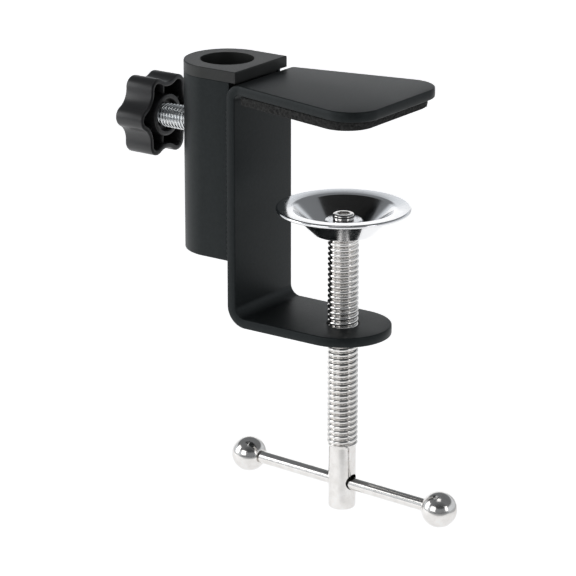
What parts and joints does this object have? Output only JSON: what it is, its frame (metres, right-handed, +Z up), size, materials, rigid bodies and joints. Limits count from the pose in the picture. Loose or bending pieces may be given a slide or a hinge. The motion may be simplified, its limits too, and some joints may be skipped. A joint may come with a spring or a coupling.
{
  "type": "embroidery stand table clamp",
  "caption": "Table-edge clamp with a bent steel bracket, a screw with a swivelling cup and sliding bar handle, and a socket with a star knob for a round post.",
  "frame": {"origin": "on the clamping screw's axis, in the plane of the table top, which is the underside of the foam pad", "axes": "+Z up along the screw's and the post socket's axes, +X from the table's edge in over the table, +Y to the left of someone who faces +X"},
  "size_m": [0.1258, 0.0486, 0.1429],
  "materials": {
    "powder_coat": "satin black powder coat on steel",
    "pad_foam": "closed-cell foam, skinned on its faces and cut at its sides",
    "adhesive_film": "double-sided adhesive film",
    "sleeve_plastic": "moulded, fine matt grain",
    "knob_plastic": "moulded, low gloss",
    "zinc_plate": "bright zinc plate on steel",
    "nylon": "natural nylon",
    "nickel_plate": "bright nickel plate on steel",
    "polished_chrome": "polished chrome plate on pressed steel"
  },
  "bodies": {
    "bracket": {"bracket": "powder_coat", "table_pad": "pad_foam", "pad_tape": "adhesive_film", "socket_shell": "powder_coat", "weld_beads": "powder_coat", "stud_nut": "zinc_plate", "post_sleeve": "sleeve_plastic"},
    "cup": {"cup": "polished_chrome"},
    "screw": {"clamp_screw": "nickel_plate", "cup_screw": "nickel_plate"},
    "handle": {"handle_bar": "nickel_plate", "handle_ball_rear": "nickel_plate", "handle_ball_front": "nickel_plate"},
    "shoe": {"post_shoe": "nylon"},
    "knob": {"star_knob": "knob_plastic", "knob_stud": "zinc_plate"}
  },
  "joints": [
    {"name": "screw_lift", "type": "slide", "parent": "bracket", "child": "cup", "axis": [0, 0, 1], "range_m": [-0.02909, 0.03133]},
    {"name": "screw_turn", "type": "hinge", "parent": "cup", "child": "screw", "pos_m": [0, 0, 0], "axis": [0, 0, 1], "range_deg": [-5980, 6440]},
    {"name": "handle_slide", "type": "slide", "parent": "screw", "child": "handle", "axis": [0.9976, -0.0698, 0], "range_m": [-0.0294, 0.0294]},
    {"name": "shoe_travel", "type": "slide", "parent": "bracket", "child": "shoe", "axis": [1, 0, 0], "range_m": [-0.00151, 0.01001]},
    {"name": "knob_turn", "type": "hinge", "parent": "shoe", "child": "knob", "pos_m": [-0.0455, 0, -0.01235], "axis": [1, 0, 0], "range_deg": [-432, 2880]}
  ],
  "couplings": [
    {"joint": "screw_lift", "follows": "screw_turn", "m_per_rad": 0.00027852},
    {"joint": "shoe_travel", "follows": "knob_turn", "m_per_rad": 0.00019894}
  ]
}
